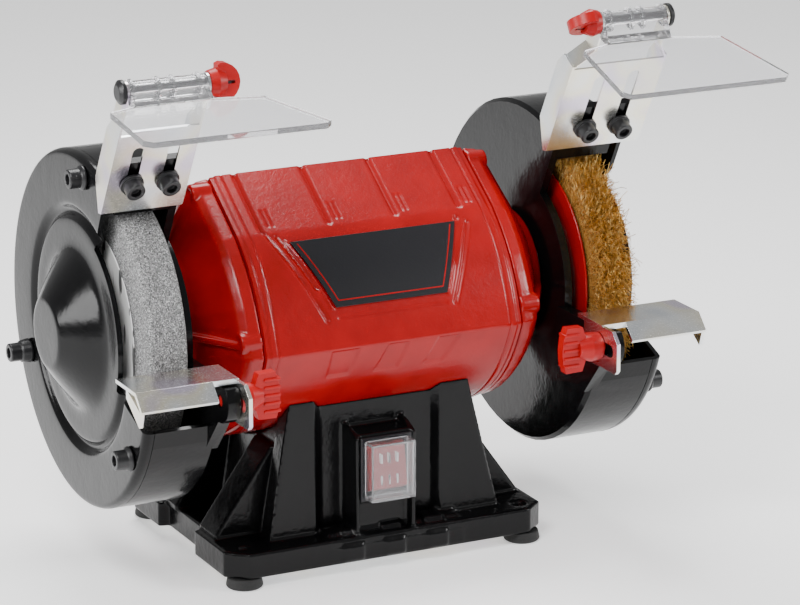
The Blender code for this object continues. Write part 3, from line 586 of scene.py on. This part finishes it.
def guard_cover(name, side):
    """Pressed cover: rolled rim, flat ring, groove, plateau, and a flared dome over the nut."""
    outside = [(0.1640, 0), (0.1640, 0.0150), (0.1638, 0.0178), (0.1622, 0.0205), (0.1570, 0.0285),
               (0.1510, 0.0365), (0.1478, 0.0410), (0.1468, 0.0450), (0.1468, 0.0555), (0.1462, 0.0580),
               (0.1436, 0.0600), (0.1436, 0.0620), (0.1464, 0.0645), (0.1470, 0.0670), (0.1470, 0.0880),
               (0.1468, 0.0915), (0.1440, 0.0930), (0.1413, 0.0930)]
    inside = [(0.1413, 0.0908), (0.1440, 0.0905), (0.1446, 0.0880), (0.1446, 0.0670), (0.1418, 0.0610),
              (0.1444, 0.0550), (0.1446, 0.0400), (0.1600, 0.0190), (0.1616, 0.0165), (0.1616, 0)]
    profile = eased(outside) + eased(inside)
    shape = moved(turned([(side * x, r) for x, r in profile], 144), AXLE)
    node = "guard_cover_" + name
    made = piece(node + "_finished", to_mesh(node, shape), "housing", "black_guard", node)
    cutter = bpy.data.objects.new("cutter", to_mesh("cutter", guard_window(side)))
    bpy.context.scene.collection.objects.link(cutter)
    modified(made, ("BOOLEAN", {"operation": "DIFFERENCE", "object": cutter, "solver": "EXACT"}))
    bpy.data.objects.remove(cutter)
    rounded(smoothed(made, 40), 0.0004, 50)


# ---------------------------------------------------------------- small details
def rocker_marks():
    """Six short raised bars on the rocker's face."""
    half_wide, half_tall, across, above = 0.0004, 0.0024, 0.0045, 0.0058
    proud, sunk = 0.0001, 0.004
    low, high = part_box("switch_rocker")
    middle = (low + high) / 2
    for column in (-1, 0, 1):
        for row in (-1, 1):
            x, z = middle.x + column * across, middle.z + row * above
            bar = block((x - half_wide, x + half_wide), (low.y - proud, low.y + sunk),
                        (z - half_tall, z + half_tall))
            piece(f"rocker_bar_{column + 2}_{row + 2}", to_mesh("bar", bar), "switch_rocker", "paper_label")


def barrel_rings(hand):
    """Clear collars round the shield's barrel."""
    outer, inner = 0.0055, 0.016                   # from the bolt's outer and inner ends to the barrel
    profile = [(-0.0009, 0.0050), (-0.0007, 0.0061), (0.0007, 0.0061), (0.0009, 0.0050)]
    low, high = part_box("shield_bolt_" + hand)
    start, end = (low.x + outer, high.x - inner) if hand == "left" else (low.x + inner, high.x - outer)
    middle = (low + high) / 2
    for number, share in enumerate((0.04, 0.40, 0.60, 0.96)):
        x = start + (end - start) * share
        ring = turned([(x + along, radius) for along, radius in profile], 32)
        mesh = to_mesh("ring", moved(ring, (0, middle.y, middle.z)))
        smoothed(piece(f"barrel_ring_{hand}_{number + 1}", mesh, "shield_" + hand, "clear_polycarbonate"))


def knob_ribs(hand):
    """Grip ribs across both faces of a rest knob's wing."""
    node = "rest_knob_" + hand
    wing, edge, half_tall, half_deep, count = 0.0098, 0.0009, 0.0008, 0.0036, 5
    lowest, spread = 0.16, 0.68                    # shares of the knob's height
    low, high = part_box(node)
    middle = (low + high) / 2
    x_low, x_high = (low.x, low.x + wing) if hand == "right" else (high.x - wing, high.x)
    for number in range(count):
        z = low.z + (high.z - low.z) * (lowest + spread * number / (count - 1))
        rib = block((x_low + edge, x_high), (middle.y - half_deep, middle.y + half_deep),
                    (z - half_tall, z + half_tall))
        made = piece(f"{node}_rib_{number + 1}", to_mesh("rib", rib), BODY_OF[node], "red_plastic")
        smoothed(modified(made, ("BEVEL", {"width": 0.0004, "segments": 2})))


# ---------------------------------------------------------------- brush
def wire_brush():
    """Thousands of crimped wires over a solid core, with a few strays."""
    count, strays, short, steps, sides = 12000, 160, 8000, 11, 3
    margin, flare, fray = 0.0012, 0.55, 0.004
    deep_root, shallow_root = 0.042, 0.060
    proud, uneven, most_worn = 0.0004, 0.0011, 0.004
    low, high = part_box("brush_bristles")
    x_low, x_high = low.x - AXLE.x + margin, high.x - AXLE.x - margin
    tip_radius = (high.z - low.z) / 2
    rng = np.random.default_rng(7)
    theta = rng.uniform(0, 2 * math.pi, count)
    x_root = rng.uniform(x_low + 0.002, x_high - 0.002, count)
    x_tip = x_root + (x_root - (x_low + x_high) / 2) * flare + rng.normal(0, 0.0013, count)
    root = np.full(count, deep_root)
    tip = tip_radius + proud - np.minimum(np.abs(rng.normal(0, uneven, count)), most_worn)
    lean = rng.normal(0, 0.075, count)
    theta[:strays] = rng.uniform(math.radians(108), math.radians(162), strays)
    tip[:strays] += rng.uniform(0.001, 0.006, strays)
    lean[:strays] = rng.normal(0, 0.10, strays)
    x_tip[:strays] += rng.normal(0, 0.003, strays)
    root[strays:strays + short] = shallow_root

    share = np.linspace(0, 1, steps)[None, :]
    phase = rng.uniform(0, 2 * math.pi, (count, 1))
    wave = rng.uniform(0.0004, 0.0011, (count, 1))
    turn = phase + share * rng.uniform(11.0, 20.0, (count, 1))
    radius = root[:, None] + (tip - root)[:, None] * share
    angle = theta[:, None] + lean[:, None] * share ** 2 + wave * np.sin(turn) / radius
    x = np.clip(x_root[:, None] + (x_tip - x_root)[:, None] * share + wave * np.cos(turn),
                x_low - fray, x_high + fray)
    spine = np.stack([x, radius * np.cos(angle), radius * np.sin(angle)], axis=-1)
    outward = np.stack([np.zeros_like(angle), np.cos(angle), np.sin(angle)], axis=-1)
    across = np.stack([np.zeros_like(angle), -np.sin(angle), np.cos(angle)], axis=-1)
    along = np.zeros_like(outward)
    along[..., 0] = 1.0
    thick = rng.uniform(0.00013, 0.00019, (count, 1, 1))
    rings = [spine + thick * (math.cos(a) * across + math.sin(a) * along)
             for a in (2 * math.pi * k / sides for k in range(sides))]
    points = np.stack(rings, axis=2).reshape(-1, 3) + np.array(AXLE)
    wire, step, edge = np.meshgrid(np.arange(count), np.arange(steps - 1), np.arange(sides), indexing="ij")
    start = (wire * steps + step) * sides
    after = (edge + 1) % sides
    faces = np.stack([start + edge, start + after, start + sides + after, start + sides + edge], axis=-1)
    mesh = grid_mesh("wires", points, faces)
    mesh.shade_smooth()
    piece("brush_wires", mesh, "rotor", "brass_wire", "brush_bristles")

    core = turned([(x_low + 0.001, 0.037), (x_low, 0.060), (x_low + 0.003, 0.067), (x_high - 0.003, 0.067),
                   (x_high, 0.060), (x_high - 0.001, 0.037), (x_low + 0.001, 0.037)], 64)
    shape = moved(core, AXLE)
    bmesh.ops.remove_doubles(shape, verts=shape.verts, dist=1e-6)
    core_piece = smoothed(piece("brush_core", to_mesh("brush core", shape), "rotor", "brass_wire"))
    # The core stands for the packed wire roots; its darker brass is painted shade among the wires.
    core_piece.data.materials[0] = BRASS_IN_PAINTED_SHADE


# ---------------------------------------------------------------- all the CAD nodes
# Edge rounding of each slot's nodes.
BEVELS = {"bright_steel": 0.0004, "black_oxide": 0.0003, "zinc_plate": 0.00035, "black_guard": 0.0006,
          "clear_polycarbonate": 0.0003, "red_plastic": 0.0007, "black_plastic": 0.0004, "rubber": 0.0006,
          "grinding_stone": 0.0006, "red_disc": 0.0004, "paper_label": 0.0001, "black_base": 0.0005}
# Nodes that a function above replaces.
SPECIAL = {"motor_housing", "base_casting", "end_bell_left", "end_bell_right", "brush_bristles",
           "guard_cover_left", "guard_cover_right"}
# Nodes hidden inside, which keep their CAD meshes.
INSIDE = {"stator_core", "winding_left", "winding_right", "rotor_core", "bearing_outer_left",
          "bearing_outer_right", "bearing_inner_left", "bearing_inner_right", "capacitor"}

housing_shell()
badge_line()
cast("base_casting", 0.0009, 3)
end_bell("left", -1)
end_bell("right", 1)
wire_brush()
guard_cover("left", -1)
guard_cover("right", 1)
rocker_marks()
for hand in ("left", "right"):
    barrel_rings(hand)
    knob_ribs(hand)
for node in NODES:
    if node in SPECIAL:
        continue
    if node in INSIDE:
        NODES[node].data.materials.clear()
        NODES[node].data.materials.append(FINISHES[SLOT_OF[node]])
    else:
        crisp(node, BEVELS[SLOT_OF[node]])


# ---------------------------------------------------------------- floor, light and camera
def studio():
    floor_half, aim = 4.0, Vector((0, 0, 0.12))
    floor_shape = bmesh.new()
    bmesh.ops.create_grid(floor_shape, x_segments=1, y_segments=1, size=floor_half)
    floor_mesh = bpy.data.meshes.new("floor")
    floor_shape.to_mesh(floor_mesh)
    floor_shape.free()
    floor = bpy.data.objects.new("floor", floor_mesh)
    bpy.context.scene.collection.objects.link(floor)
    paint = Finish("pale floor", (0.92, 0.92, 0.92), 0.7)
    paint.shader.inputs["Emission Color"].default_value = WHITE
    paint.shader.inputs["Emission Strength"].default_value = 0.5
    floor_mesh.materials.append(paint.material)

    world = bpy.data.worlds.new("studio")
    bpy.context.scene.world = world
    world.use_nodes = True
    sky = world.node_tree.nodes["Background"].inputs
    sky["Color"].default_value = WHITE
    sky["Strength"].default_value = 0.45

    lamps = [((-0.60, -0.50, 0.95), 0.40, 11.0), ((0.80, -0.60, 0.55), 0.30, 6.0),
             ((0.10, 0.45, 1.15), 0.60, 15.0), ((-1.10, 0.10, 0.45), 0.40, 7.0)]
    for number, (place, size, power) in enumerate(lamps):
        lamp = bpy.data.lights.new(f"softbox {number}", "AREA")
        lamp.size = size
        lamp.energy = power
        holder = bpy.data.objects.new(f"softbox {number}", lamp)
        holder.location = place
        holder.rotation_mode = "QUATERNION"
        holder.rotation_quaternion = (aim - Vector(place)).to_track_quat("-Z", "Y")
        bpy.context.scene.collection.objects.link(holder)


def camera():
    azimuth, elevation, distance = math.radians(26.249), math.radians(16.2856), 2.0
    target = ORIGIN + Vector((0.036619, 0.0, 0.1215533))
    heading = Vector((math.sin(azimuth) * math.cos(elevation), math.cos(azimuth) * math.cos(elevation),
                      -math.sin(elevation)))
    lens = bpy.data.cameras.new("camera")
    lens.sensor_width = 36.0
    lens.lens = 169.5
    lens.clip_start = 0.05
    holder = bpy.data.objects.new("camera", lens)
    holder.location = target - heading * distance
    holder.rotation_mode = "QUATERNION"
    holder.rotation_quaternion = heading.to_track_quat("-Z", "Y")
    bpy.context.scene.collection.objects.link(holder)
    bpy.context.scene.camera = holder


studio()
camera()
